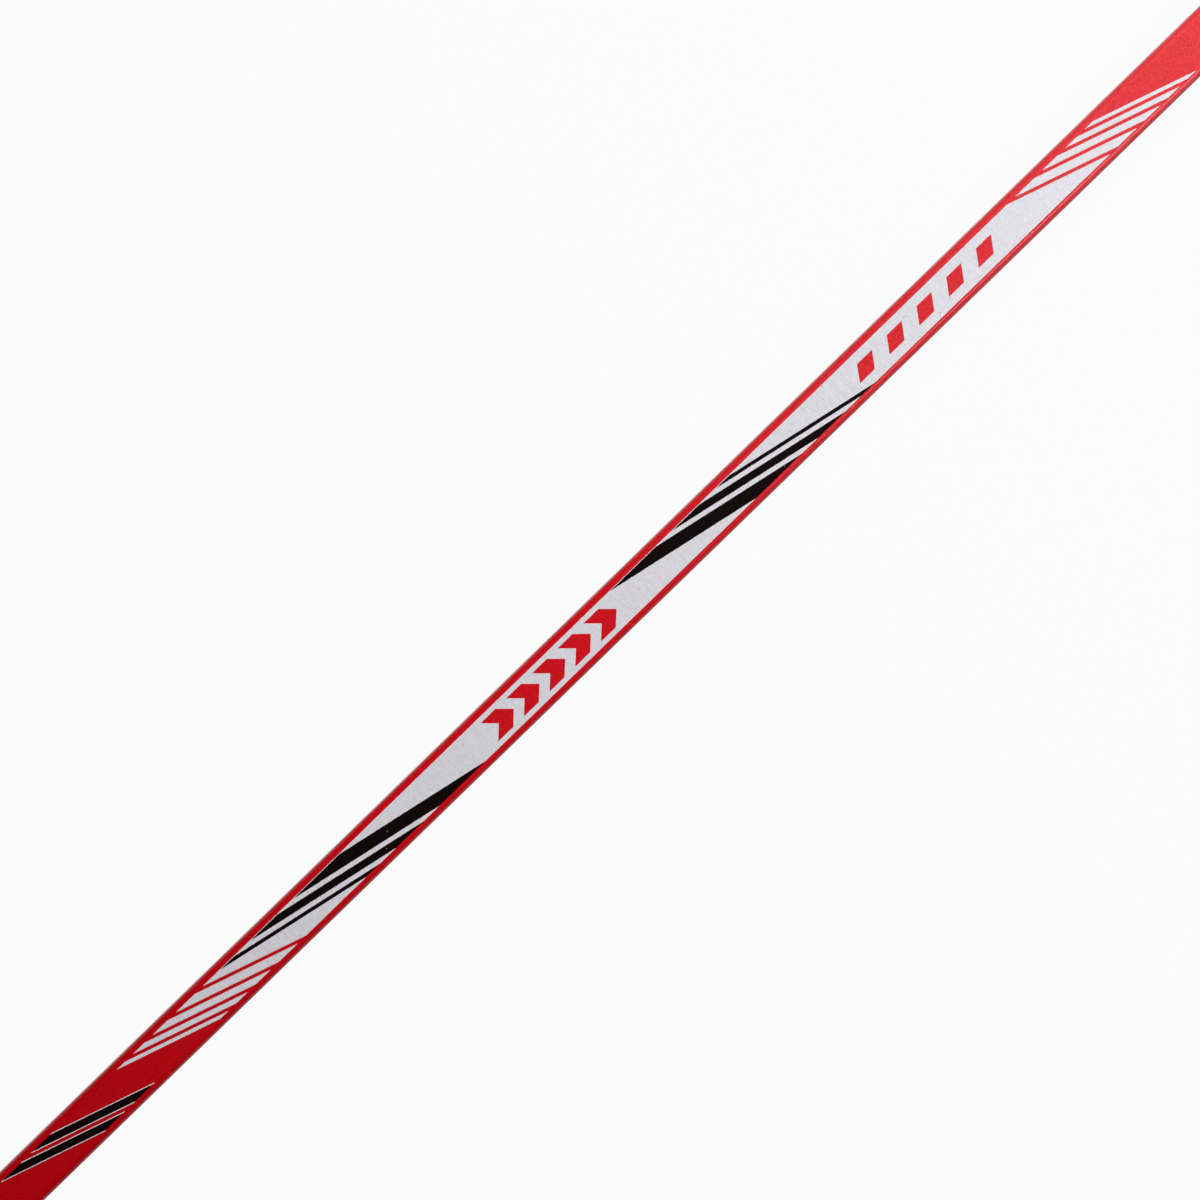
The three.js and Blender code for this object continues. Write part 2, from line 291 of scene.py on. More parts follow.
# %% [markdown]
# ## What lies under the paint
#
# The shaft is wrapped in glass cloth before it is painted, and the threads print through the paint as a
# very fine weave. It could be a displaced mesh, but threads a millimetre apart on a shaft more than a
# metre long would need millions of faces. A bump of the true height costs nothing. Two crossed sines
# make the weave, and a soft noise over it makes the slight orange peel of a sprayed coat.
#
# The same pattern is used under the lacquer, the film and the inks, because it is one cloth.

# %% Weave and orange peel
THREAD_PITCH = 1.1 * MM
WEAVE_HEIGHT = 0.008 * MM
PEEL_SIZE = 2.6 * MM
PEEL_HEIGHT = 0.012 * MM


def cloth_normal(tree):
    """A normal that carries the weave of the glass cloth and the slight orange peel of the coat on it."""
    place = add_node(tree, "ShaderNodeTexCoord")
    axes = add_node(tree, "ShaderNodeSeparateXYZ", {"Vector": place.outputs["Object"]})
    girth = add_node(
        tree, "ShaderNodeMath", {0: axes.outputs["Y"], 1: axes.outputs["Z"]}, operation="ADD"
    )
    waves = []
    for distance in (axes.outputs["X"], girth.outputs[0]):
        angle = add_node(
            tree, "ShaderNodeMath", {0: distance, 1: math.pi / THREAD_PITCH}, operation="MULTIPLY"
        )
        waves.append(add_node(tree, "ShaderNodeMath", {0: angle}, operation="SINE"))
    weave = add_node(tree, "ShaderNodeMath", {0: waves[0], 1: waves[1]}, operation="MULTIPLY")
    peel = add_node(
        tree,
        "ShaderNodeTexNoise",
        {"Vector": place.outputs["Object"], "Scale": 1 / PEEL_SIZE, "Detail": 1.0},
    )
    threads = add_node(tree, "ShaderNodeBump", {"Height": weave, "Distance": WEAVE_HEIGHT})
    return add_node(
        tree, "ShaderNodeBump", {"Height": peel, "Distance": PEEL_HEIGHT, "Normal": threads}
    )


print("Threads per 10 mm of cloth:", round(10 * MM / THREAD_PITCH, 1))

# %% [markdown]
# A coat over cloth is thinner on a thread than beside it, so its colour is **mottled**, as fine as the
# threads. Close up, the picture shows it as a slight grain. A noise round 1, multiplied into the colour,
# draws it, where a second colour would have to be chosen for every finish.

# %% Mottle
def mottled(tree, colour, spread):
    """A colour that is a little darker and lighter by turns, where the threads make the coat thin."""
    place = add_node(tree, "ShaderNodeTexCoord")
    threads = add_node(
        tree,
        "ShaderNodeTexNoise",
        {"Vector": place.outputs["Object"], "Scale": 1 / THREAD_PITCH, "Detail": 1.0},
    )
    share = add_node(
        tree, "ShaderNodeMapRange", {"Value": threads, "To Min": 1 - spread, "To Max": 1 + spread}
    )
    return add_node(tree, "ShaderNodeVectorMath", {0: colour, "Scale": share}, operation="SCALE")


print("Grain of the mottle in mm:", THREAD_PITCH / MM)

# %% [markdown]
# A **speck** of dust gets caught here and there in any print shop. A Voronoi pattern puts one spot in
# each square of a wide grid, and everything closer to a spot than the speck's radius takes its colour.
# Dots placed by hand would do as well, but would have to be placed again for each ink.

# %% Specks
SPECK_RADIUS = 0.35 * MM
SPECK_SPACING = 30 * MM


def specked(tree, colour, speck_colour):
    """A colour with a speck of another here and there, each in its own spot of a two-dimensional grid."""
    place = add_node(tree, "ShaderNodeTexCoord")
    spots = add_node(
        tree,
        "ShaderNodeTexVoronoi",
        {"Vector": place.outputs["Object"], "Scale": 1 / SPECK_SPACING},
        voronoi_dimensions="2D",
    )
    speck = add_node(
        tree,
        "ShaderNodeMath",
        {0: spots.outputs["Distance"], 1: SPECK_RADIUS / SPECK_SPACING},
        operation="LESS_THAN",
    )
    return add_node(
        tree, "ShaderNodeMix", {"Factor": speck, "A": colour, "B": speck_colour}, data_type="RGBA"
    )


print("Specks of", 2 * SPECK_RADIUS / MM, "mm, about one to every", SPECK_SPACING / MM, "mm")

# %% [markdown]
# ## Lacquer and inks
#
# **Red lacquer** is a pigmented polyurethane, sprayed and left to flow. It gives the eye a deep even red
# with a soft gloss. The colour lightens slowly from the tip towards the butt, as a sprayed fade, so one
# ramp along X makes it. The film and the red ink take the same fade.

# %% Red fade
FADE_START_X = -411 * MM
FADE_END_X = 461 * MM
RED_AT_TIP = "#b0000c"
RED_IN_MIDDLE = "#c5101a"
RED_AT_BUTT = "#cf373c"
RED_MOTTLE = 0.3


def red_fade(tree):
    """The lacquer's red, which lightens along the stick."""
    place = add_node(tree, "ShaderNodeTexCoord")
    axes = add_node(tree, "ShaderNodeSeparateXYZ", {"Vector": place.outputs["Object"]})
    share = add_node(
        tree,
        "ShaderNodeMapRange",
        {"Value": axes.outputs["X"], "From Min": FADE_START_X, "From Max": FADE_END_X},
    )
    ramp = add_node(tree, "ShaderNodeValToRGB", {"Fac": share})
    stops = ramp.color_ramp.elements
    stops[0].color = linear(RED_AT_TIP)
    stops[1].color = linear(RED_AT_BUTT)
    stops.new(0.5).color = linear(RED_IN_MIDDLE)
    return mottled(tree, ramp, RED_MOTTLE)


print("Fade over", round((FADE_END_X - FADE_START_X) / MM), "mm, from", RED_AT_TIP, "to", RED_AT_BUTT)

# %% [markdown]
# A new lacquer has a specular level of about 0.5. It was brought down until the gloss on the rails was
# as faint as in the picture, as on a stick that has been handled.

# %% Red lacquer
LACQUER_ROUGHNESS = 0.22
LACQUER_GLOSS = 0.22


def red_coat(name, roughness, gloss):
    """A coat in the fading red, over the cloth."""
    coat, tree = new_material(name)
    shader = add_node(
        tree,
        "ShaderNodeBsdfPrincipled",
        {
            "Base Color": red_fade(tree),
            "Roughness": roughness,
            "Specular IOR Level": gloss,
            "Normal": cloth_normal(tree),
        },
    )
    add_node(tree, "ShaderNodeOutputMaterial", {"Surface": shader})
    return coat


red_lacquer = red_coat("sprayed_red_polyurethane_lacquer", LACQUER_ROUGHNESS, LACQUER_GLOSS)
print("Made", red_lacquer.name)

# %% [markdown]
# **The printed film** is a thin polyester foil with the inks on it, pressed on hot and coated clear.
# Its ground is printed in the lacquer's red. Its clear coat is new, so it mirrors a little more than
# the lacquer beside it, but in a broader gloss.

# %% Printed film's red ground
FILM_ROUGHNESS = 0.27
FILM_GLOSS = 0.32

film_ground = red_coat("printed_polyester_film_red_ground", FILM_ROUGHNESS, FILM_GLOSS)
print("Made", film_ground.name)

# %% [markdown]
# Three finishes of this stick are **streaked**: the silver-white ink, the wood and the glass fibre. A
# noise with one size along the stick and another across it draws them all. Lines drawn one by one would
# look ruled, where a noise wanders and breaks off as threads and grain do.

# %% Streaks
def streaks(tree, length, width, detail, wander=0.0):
    """A noise of one size along the stick and another across it."""
    place = add_node(tree, "ShaderNodeTexCoord")
    stretch = (1 / length, 1 / width, 1 / width)
    stretched = add_node(
        tree, "ShaderNodeMapping", {"Vector": place.outputs["Object"], "Scale": stretch}
    )
    noise = {"Vector": stretched, "Scale": 1.0, "Detail": detail, "Distortion": wander}
    return add_node(tree, "ShaderNodeTexNoise", noise)


print("Streaked finishes share", streaks.__name__)

# %% [markdown]
# **The silver-white ink** holds fine pearl pigment, so its white is a cool light grey. The threads of
# the cloth show in it as faint lines across the shaft, which the eye takes for brushed foil. They are
# drawn a little coarser than they are, because the real ones are finer than a pixel of the picture.
# A few specks of dust are caught under it, as grey dots.

# %% Silver-white ink
LINE_PITCH = 0.9 * MM
LINE_LENGTH = 7 * MM
LINE_TONES = ((0.3, "#c7c5cb"), (0.7, "#d7d5db"))
CLOUD_SIZE = 28 * MM
CLOUD_TONE = "#cfcdd3"
PALE_MOTTLE = 0.15
DUST = "#7f7d81"
PALE_ROUGHNESS = 0.38
PALE_GLOSS = 0.35

silver_white_ink, tree = new_material("screen_printed_silver_white_ink")
place = add_node(tree, "ShaderNodeTexCoord")
lines = streaks(tree, LINE_PITCH, LINE_LENGTH, detail=2.0)
tones = add_node(tree, "ShaderNodeValToRGB", {"Fac": lines})
for stop, (position, tone) in zip(tones.color_ramp.elements, LINE_TONES):
    stop.position = position
    stop.color = linear(tone)
clouds = add_node(
    tree, "ShaderNodeTexNoise", {"Vector": place.outputs["Object"], "Scale": 1 / CLOUD_SIZE}
)
clouded = add_node(
    tree,
    "ShaderNodeMix",
    {"Factor": clouds, "A": tones, "B": linear(CLOUD_TONE)},
    data_type="RGBA",
)
shader = add_node(
    tree,
    "ShaderNodeBsdfPrincipled",
    {
        "Base Color": specked(tree, mottled(tree, clouded, PALE_MOTTLE), linear(DUST)),
        "Roughness": PALE_ROUGHNESS,
        "Specular IOR Level": PALE_GLOSS,
        "Normal": cloth_normal(tree),
    },
)
add_node(tree, "ShaderNodeOutputMaterial", {"Surface": shader})
print("Made", silver_white_ink.name)

# %% [markdown]
# **Black and red inks** are screen printed over the silver-white. They lie thicker and flow smoother,
# so they are even, and their gloss varies only a little, where the squeegee pressed unevenly. One
# function makes both, and takes the colour as a function, because that has nodes of its own.

# %% Gloss inks
INK_ROUGHNESS = 0.27
INK_ROUGHNESS_SPREAD = 0.04
INK_GLOSS = 0.32
SQUEEGEE_MARK_SIZE = 1.6 * MM


def gloss_ink(name, colour):
    """A thick glossy ink. colour gives its base colour, once it has the ink's node tree."""
    ink, tree = new_material(name)
    place = add_node(tree, "ShaderNodeTexCoord")
    marks = add_node(
        tree,
        "ShaderNodeTexNoise",
        {"Vector": place.outputs["Object"], "Scale": 1 / SQUEEGEE_MARK_SIZE},
    )
    sheen = add_node(
        tree,
        "ShaderNodeMapRange",
        {
            "Value": marks,
            "To Min": INK_ROUGHNESS - INK_ROUGHNESS_SPREAD,
            "To Max": INK_ROUGHNESS + INK_ROUGHNESS_SPREAD,
        },
    )
    shader = add_node(
        tree,
        "ShaderNodeBsdfPrincipled",
        {
            "Base Color": colour(tree),
            "Roughness": sheen,
            "Specular IOR Level": INK_GLOSS,
            "Normal": cloth_normal(tree),
        },
    )
    add_node(tree, "ShaderNodeOutputMaterial", {"Surface": shader})
    return ink


print("Ink roughness:", INK_ROUGHNESS, "give or take", INK_ROUGHNESS_SPREAD)

# %% [markdown]
# The red of the marks fades as the lacquer does, to match the rails. Now and then a speck of dust kept
# the ink off, which leaves a pinhole in the black.

# %% Black and red
BLACK_INK = "#0c0202"
PINHOLE = "#7a7273"


def black_with_pinholes(tree):
    """The black ink's colour."""
    return specked(tree, linear(BLACK_INK), linear(PINHOLE))


black_ink_finish = gloss_ink("screen_printed_gloss_black_ink", black_with_pinholes)
red_ink_finish = gloss_ink("screen_printed_gloss_red_ink", red_fade)
print("Made", black_ink_finish.name, "and", red_ink_finish.name)

# %% [markdown]
# ## Tip, cap and screws
#
# **Nylon** for the tip is injection moulded in a spark-eroded mould, whose fine grain makes it satin
# and not shiny. **Rubber** for the cap is compression moulded, duller and a touch warmer, with a faint
# bloom that lightens it in patches. Both are black, and only their surfaces tell them apart, so one
# recipe makes both: two tones, a roughness, and the size and height of the grain.

# %% Moulded nylon and rubber
MOULDINGS = {
    "spark_textured_moulded_nylon": ("#131315", "#1a1a1d", 0.46, 0.35 * MM, 0.02 * MM),
    "compression_moulded_rubber": ("#171515", "#232120", 0.7, 0.6 * MM, 0.03 * MM),
}
BLOOM_SIZE = 12 * MM
BLOOM_DULLING = 0.12
MOULDING_GLOSS = 0.4

moulded = {}
for name, (dark, light, roughness, grain_size, grain_height) in MOULDINGS.items():
    moulded[name], tree = new_material(name)
    place = add_node(tree, "ShaderNodeTexCoord")
    bloom = add_node(
        tree, "ShaderNodeTexNoise", {"Vector": place.outputs["Object"], "Scale": 1 / BLOOM_SIZE}
    )
    colour = add_node(
        tree, "ShaderNodeMix", {"Factor": bloom, "A": linear(dark), "B": linear(light)}, data_type="RGBA"
    )
    grain = add_node(
        tree,
        "ShaderNodeTexNoise",
        {"Vector": place.outputs["Object"], "Scale": 1 / grain_size, "Detail": 3.0},
    )
    dullness = add_node(
        tree,
        "ShaderNodeMapRange",
        {"Value": bloom, "To Min": roughness, "To Max": roughness + BLOOM_DULLING},
    )
    bumps = add_node(tree, "ShaderNodeBump", {"Height": grain, "Distance": grain_height})
    shader = add_node(
        tree,
        "ShaderNodeBsdfPrincipled",
        {
            "Base Color": colour,
            "Roughness": dullness,
            "Specular IOR Level": MOULDING_GLOSS,
            "Normal": bumps,
        },
    )
    add_node(tree, "ShaderNodeOutputMaterial", {"Surface": shader})
nylon, rubber = moulded.values()
print("Made", nylon.name, "and", rubber.name)

# %% [markdown]
# **Zinc-plated steel** for the screws is turned, then plated bright. It has the grey of zinc, with a
# slight cloudiness where the passivation is thicker, and fine scratches from the screwdriver.

# %% Zinc-plated steel
PLATE_TONES = ("#b9bbbf", "#cfcfcd")
PLATE_ROUGHNESS = (0.22, 0.36)
PLATE_CLOUD_SIZE = 2 * MM
SCRATCH_SIZE = 0.25 * MM
SCRATCH_DEPTH = 0.004 * MM

zinc_plate, tree = new_material("zinc_plated_turned_steel")
place = add_node(tree, "ShaderNodeTexCoord")
clouds = add_node(
    tree, "ShaderNodeTexNoise", {"Vector": place.outputs["Object"], "Scale": 1 / PLATE_CLOUD_SIZE}
)
colour = add_node(
    tree,
    "ShaderNodeMix",
    {"Factor": clouds, "A": linear(PLATE_TONES[0]), "B": linear(PLATE_TONES[1])},
    data_type="RGBA",
)
dullness = add_node(
    tree,
    "ShaderNodeMapRange",
    {"Value": clouds, "To Min": PLATE_ROUGHNESS[0], "To Max": PLATE_ROUGHNESS[1]},
)
scratches = add_node(
    tree, "ShaderNodeTexNoise", {"Vector": place.outputs["Object"], "Scale": 1 / SCRATCH_SIZE}
)
bumps = add_node(tree, "ShaderNodeBump", {"Height": scratches, "Distance": SCRATCH_DEPTH})
shader = add_node(
    tree,
    "ShaderNodeBsdfPrincipled",
    {"Base Color": colour, "Metallic": 1.0, "Roughness": dullness, "Normal": bumps},
)
add_node(tree, "ShaderNodeOutputMaterial", {"Surface": shader})
print("Made", zinc_plate.name)

# %% [markdown]
# ## Wood and glass inside
#
# The plies and the glass strips are hidden in the finished stick, and show only when it is taken apart.
# The plies are sliced veneer: **aspen** for the light core, **birch** for the harder faces. Veneer has
# its grain along the ply, so a noise that is stretched about a hundredfold along X draws it. The same
# noise, as a slight bump, opens its pores.

# %% Wood veneers
VENEERS = {
    "sliced_aspen_veneer": ("#cdb68a", "#e6d7b3", 1.4 * MM),
    "sliced_birch_veneer": ("#d3b988", "#ecdcb8", 0.8 * MM),
}
GRAIN_LENGTH = 120 * MM
GRAIN_STOPS = (0.35, 0.65)
GRAIN_WANDER = 0.4
PORE_HEIGHT = 0.05 * MM
VENEER_ROUGHNESS = 0.72
VENEER_GLOSS = 0.3

veneers = {}
for name, (dark, light, grain_width) in VENEERS.items():
    veneers[name], tree = new_material(name)
    grain = streaks(tree, GRAIN_LENGTH, grain_width, detail=5.0, wander=GRAIN_WANDER)
    tones = add_node(tree, "ShaderNodeValToRGB", {"Fac": grain})
    for stop, position, tone in zip(tones.color_ramp.elements, GRAIN_STOPS, (dark, light)):
        stop.position = position
        stop.color = linear(tone)
    pores = add_node(tree, "ShaderNodeBump", {"Height": grain, "Distance": PORE_HEIGHT})
    shader = add_node(
        tree,
        "ShaderNodeBsdfPrincipled",
        {
            "Base Color": tones,
            "Roughness": VENEER_ROUGHNESS,
            "Specular IOR Level": VENEER_GLOSS,
            "Normal": pores,
        },
    )
    add_node(tree, "ShaderNodeOutputMaterial", {"Surface": shader})
aspen, birch = veneers.values()
print("Made", aspen.name, "and", birch.name)

# %% [markdown]
# **Glass fibre in epoxy** makes the two strips that stiffen the wide faces. All its fibres run along the
# stick, so it is streaked lengthwise. It was pressed between smooth plates, so it is half shiny, and the
# resin makes it greenish and a little clear. Single fibres are far too fine to see, so the streaks are
# bundles of them.

# %% Glass fibre strip
BUNDLE_WIDTH = 0.7 * MM
BUNDLE_LENGTH = 60 * MM
STREAK_HEIGHT = 0.05 * MM
RESIN_TONES = ("#a9b48e", "#dfe6cd")
STRIP_ROUGHNESS = 0.3
STRIP_CLEARNESS = 0.15

glass_strip, tree = new_material("unidirectional_glass_fibre_in_epoxy")
bundles = streaks(tree, BUNDLE_LENGTH, BUNDLE_WIDTH, detail=3.0)
tones = add_node(tree, "ShaderNodeValToRGB", {"Fac": bundles})
for stop, tone in zip(tones.color_ramp.elements, RESIN_TONES):
    stop.color = linear(tone)
bumps = add_node(tree, "ShaderNodeBump", {"Height": bundles, "Distance": STREAK_HEIGHT})
shader = add_node(
    tree,
    "ShaderNodeBsdfPrincipled",
    {
        "Base Color": tones,
        "Roughness": STRIP_ROUGHNESS,
        "Transmission Weight": STRIP_CLEARNESS,
        "Normal": bumps,
    },
)
add_node(tree, "ShaderNodeOutputMaterial", {"Surface": shader})
print("Made", glass_strip.name)

# %% [markdown]
# The CAD shapes of the plies and strips are right as they are, flat and square-edged as cut, so nothing
# is modelled over them. They only get their finish, in place of the plain one that they came with.

# %% Finishes for the CAD plies
CORE_PLY_COUNT = 9

finish_of = {f"core_ply_{number}": aspen for number in range(1, CORE_PLY_COUNT + 1)}
for side in ("front", "back"):
    finish_of[f"face_ply_{side}"] = birch
    finish_of[f"glass_laminate_{side}"] = glass_strip
for node, finish in finish_of.items():
    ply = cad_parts[node]
    ply.data.materials.clear()
    ply.data.materials.append(finish)
print("Finished", len(finish_of), "hidden layers")

# %% [markdown]
# ## Working by hand, in code
#
# Each piece is modelled as by hand: add a primitive, go into edit mode, select, then extrude, bevel or
# inset. An operator acts on whatever is selected, so every step first selects by place or direction.

# %% Edit and select
SAME_PLACE = 0.01 * MM


def edit(piece):
    """Goes into edit mode on one piece, with nothing selected."""
    bpy.ops.object.select_all(action="DESELECT")
    piece.select_set(True)
    bpy.context.view_layer.objects.active = piece
    bpy.ops.object.mode_set(mode="EDIT")
    bpy.ops.mesh.select_all(action="DESELECT")


def middle(element):
    """The place of a vertex, or the middle of an edge or a face."""
    if isinstance(element, bmesh.types.BMVert):
        return element.co.copy()
    return sum((corner.co for corner in element.verts), Vector()) / len(element.verts)


def pick(kind, test):
    """Selects only the vertices, edges or faces that pass the test."""
    bpy.ops.mesh.select_mode(type={"verts": "VERT", "edges": "EDGE", "faces": "FACE"}[kind])
    bpy.ops.mesh.select_all(action="DESELECT")
    mesh = bmesh.from_edit_mesh(bpy.context.object.data)
    for element in getattr(mesh, kind):
        if test(element):
            element.select_set(True)
    mesh.select_flush_mode()
    bmesh.update_edit_mesh(bpy.context.object.data)


print("Two points are one place within", SAME_PLACE / MM, "mm")

# %% [markdown]
# Much of the stick starts as a block that is then cut and eased. A modifier is applied at once, because
# a finished piece keeps a plain mesh. Both faces of the stick are alike, so what is made for the front
# is copied to the back with a mesh of its own, turned half a turn about the stick's length.

# %% Blocks, modifiers and copies
def add_block(low, high):
    """A block between two corners, with its size in its mesh."""
    bpy.ops.object.select_all(action="DESELECT")
    bpy.ops.mesh.primitive_cube_add(size=1, location=(Vector(low) + Vector(high)) / 2)
    block = bpy.context.object
    block.scale = Vector(high) - Vector(low)
    bpy.ops.object.transform_apply(location=True, rotation=True, scale=True)
    return block


def use(piece, kind, **settings):
    """Adds a modifier and applies it."""
    modifier = piece.modifiers.new(kind.lower(), kind)
    for name, value in settings.items():
        setattr(modifier, name, value)
    bpy.context.view_layer.objects.active = piece
    bpy.ops.object.modifier_apply(modifier=modifier.name)


def turned_copy(piece, name):
    """A copy with its own mesh, turned half a turn about the length of the stick."""
    bpy.ops.object.select_all(action="DESELECT")
    piece.select_set(True)
    bpy.context.view_layer.objects.active = piece
    bpy.ops.object.duplicate()
    copy = bpy.context.object
    bpy.ops.transform.rotate(value=math.pi, orient_axis="X", center_override=middle_of_stick)
    bpy.ops.object.transform_apply(location=True, rotation=True, scale=True)
    copy.name = name
    copy.data.name = name
    return copy


middle_of_stick = (0, 0, cad_high.z / 2)
print("Copies turn about a line", round(middle_of_stick[2] / MM, 2), "mm above the table")

# %% [markdown]
# A finished piece is settled: its place goes into its mesh, edges flatter than 35 degrees are smoothed
# while sharper ones stay crisp, and it gets its name and finish. Then it is said where it belongs.

# %% Finished pieces
SMOOTH_ANGLE = math.radians(35)


def settle(piece, name, material):
    """Leaves edit mode, puts the place into the mesh, and gives the piece its name, finish and shading."""
    if bpy.context.mode != "OBJECT":
        bpy.ops.object.mode_set(mode="OBJECT")
    bpy.ops.object.select_all(action="DESELECT")
    piece.select_set(True)
    bpy.context.view_layer.objects.active = piece
    bpy.ops.object.transform_apply(location=True, rotation=True, scale=True)
    bpy.ops.object.shade_smooth_by_angle(angle=SMOOTH_ANGLE)
    use(piece, "WEIGHTED_NORMAL", keep_sharp=True)
    piece.name = name
    piece.data.name = name
    piece.data.materials.clear()
    piece.data.materials.append(material)
    return piece


def belongs(piece, slot, *nodes):
    """The piece rides on the stick and stands for its CAD nodes. slot is not used."""
    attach(piece, "root")
    if nodes:
        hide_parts(*nodes)


print("Edges are smoothed below", round(math.degrees(SMOOTH_ANGLE)), "degrees")

# %% [markdown]
# ## The shaft's skin
#
# On the real stick this is a sleeve of glass cloth, bonded round the wood and lacquered red: a long
# rounded rectangle that narrows over its last hand's width to meet the tip. It could be lofted through
# cross sections, as the CAD model does it. By hand it is quicker as a block: bevel its four long
# edges, cut a ring where the taper starts, draw the tip end in, and give the open sleeve its wall.

# %% Shaft sleeve
CORNER_RADIUS = 4 * MM
CORNER_SEGMENTS = 10
TAPER_LENGTH = 76 * MM
NECK_WIDTH = 23 * MM
SLEEVE_WALL = 0.6 * MM

taper_start = shaft_low.x + TAPER_LENGTH
neck_inset = (shaft_high.y - shaft_low.y - NECK_WIDTH) / 2

sleeve = add_block(shaft_low, shaft_high)
edit(sleeve)
pick("edges", lambda e: abs(middle(e).x) < SAME_PLACE + abs(shaft_low.x + shaft_high.x) / 2)
bpy.ops.mesh.bevel(offset=CORNER_RADIUS, segments=CORNER_SEGMENTS, affect="EDGES")
bpy.ops.mesh.select_all(action="SELECT")
bpy.ops.mesh.bisect(plane_co=(taper_start, 0, 0), plane_no=(1, 0, 0))
for side in (1, -1):
    pick("verts", lambda v: v.co.x < shaft_low.x + SAME_PLACE and v.co.y * side > 0)
    bpy.ops.transform.translate(value=(0, -side * neck_inset, 0))
pick("faces", lambda f: abs(f.normal.x) > math.cos(SMOOTH_ANGLE))
bpy.ops.mesh.delete(type="FACE")
bpy.ops.object.mode_set(mode="OBJECT")
use(sleeve, "SOLIDIFY", thickness=SLEEVE_WALL, offset=-1, use_even_offset=True)
settle(sleeve, "shaft_sleeve", red_lacquer)
belongs(sleeve, "red_lacquer", "glass_wrap")
print("Sleeve in mm:", [round(d / MM, 2) for d in sleeve.dimensions])

# %% [markdown]
# ## The printed film
#
# The film fills the flat of each wide face and stops where the corner rounding starts, which leaves the
# two red rails that frame the print. It is a block as thin as a coat of paint, with its corners rounded
# in plan and its upper edge eased, so that the edge catches a hair of light.

# %% Printed film
FILM_THICKNESS = 0.12 * MM
FILM_CORNER_RADIUS = 3 * MM
FILM_EDGE_EASE = 0.04 * MM
FILM_EDGE_SEGMENTS = 2

film_low, film_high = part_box("print_film_front")
film_top = film_low.z + FILM_THICKNESS

film = add_block(film_low, (film_high.x, film_high.y, film_top))
edit(film)
pick("edges", lambda e: abs(e.verts[0].co.z - e.verts[1].co.z) > FILM_THICKNESS / 2)
bpy.ops.mesh.bevel(offset=FILM_CORNER_RADIUS, segments=CORNER_SEGMENTS, affect="EDGES")
pick("edges", lambda e: middle(e).z > film_top - SAME_PLACE)
bpy.ops.mesh.bevel(offset=FILM_EDGE_EASE, segments=FILM_EDGE_SEGMENTS, affect="EDGES")
settle(film, "film_front", film_ground)
film_back = turned_copy(film, "film_back")
belongs(film, "print_film", "print_film_front")
belongs(film_back, "print_film", "print_film_back")
print("Film in mm:", [round(d / MM, 2) for d in film.dimensions])

# %% [markdown]
# ## The print
#
# The print is a set of plain slanted bars, pointed arrows and stripes, silver-white first and then black
# and red over it. It could be drawn in the shader, but then its edges would blur or step, and the
# exported mesh would show nothing. So each printed area is a plate as thin as a layer of ink.
#
# A plate starts as a plane over its stretch of film. Its upper edge is slid along the stick to slant it,
# and it is extruded to the thickness of the ink.

# %% Ink plates
INK_THICKNESS = 0.03 * MM
PRINT_WIDTH = film_high.y - film_low.y - 2 * FILM_EDGE_EASE


def ink_plate(start, length, slant, height=PRINT_WIDTH, point=0, drop=0, layer=0):
    """A plate of ink from start, of a length along its lower edge, with its upper edge slid by slant.

    point slides its middle along the stick, which makes an arrow of it. drop shifts it off centre."""
    bpy.ops.object.select_all(action="DESELECT")
    level = film_top + layer * INK_THICKNESS
    bpy.ops.mesh.primitive_plane_add(size=1, location=(start + length / 2, -drop, level))
    plate = bpy.context.object
    plate.scale = (length, height, 1)
    bpy.ops.object.transform_apply(location=True, rotation=True, scale=True)
    edit(plate)
    pick("verts", lambda v: v.co.y > 0)
    bpy.ops.transform.translate(value=(slant, 0, 0))
    if point:
        bpy.ops.mesh.select_all(action="SELECT")
        bpy.ops.mesh.bisect(plane_co=(0, 0, 0), plane_no=(0, 1, 0))
        pick("verts", lambda v: abs(v.co.y) < SAME_PLACE)
        bpy.ops.transform.translate(value=(point, 0, 0))
    bpy.ops.mesh.select_all(action="SELECT")
    bpy.ops.mesh.extrude_region_move(TRANSFORM_OT_translate={"value": (0, 0, INK_THICKNESS)})
    bpy.ops.mesh.select_all(action="SELECT")
    bpy.ops.mesh.normals_make_consistent(inside=False)
    bpy.ops.object.mode_set(mode="OBJECT")
    return plate


def stripe_row(start, lengths, gap, slant, **placing):
    """A row of slanted stripes, each with its own length, and one gap between them."""
    plates = []
    for length in lengths:
        plates.append(ink_plate(start, length, slant, **placing))
        start += length + gap
    return plates


print("Ink in mm:", round(INK_THICKNESS / MM, 3), "thick,", round(PRINT_WIDTH / MM, 2), "wide")

# %% [markdown]
# From the tip end on come two bold black stripes with white outlines, and then a long white panel with
# four white stripes before it and four behind, which get narrower away from it. The panel holds a row of
# red arrows between two fans of black stripes, and a row of small red bars. The rest is plain red.
#
# All these stripes lean the same way and their widths step evenly, as in a sign writer's layout. The
# silver-white is printed first, because white ink covers the red ground and carries the rest.

# %% Silver-white areas
STRIPE_SLANT = -58 * MM
PANEL_START = -207 * MM
PANEL_LENGTH = 595 * MM
STEP_LENGTHS = [14 * MM, 11 * MM, 8.5 * MM, 6 * MM]
STEP_GAP = 6 * MM

before_panel = PANEL_START - sum(STEP_LENGTHS) - STEP_GAP * len(STEP_LENGTHS)
behind_panel = PANEL_START + PANEL_LENGTH + STEP_GAP
white_plates = [ink_plate(PANEL_START, PANEL_LENGTH, STRIPE_SLANT)]
white_plates += stripe_row(before_panel, STEP_LENGTHS[::-1], STEP_GAP, STRIPE_SLANT)
white_plates += stripe_row(behind_panel, STEP_LENGTHS, STEP_GAP, STRIPE_SLANT)
print("The panel and", len(white_plates) - 1, "stripes beside it")

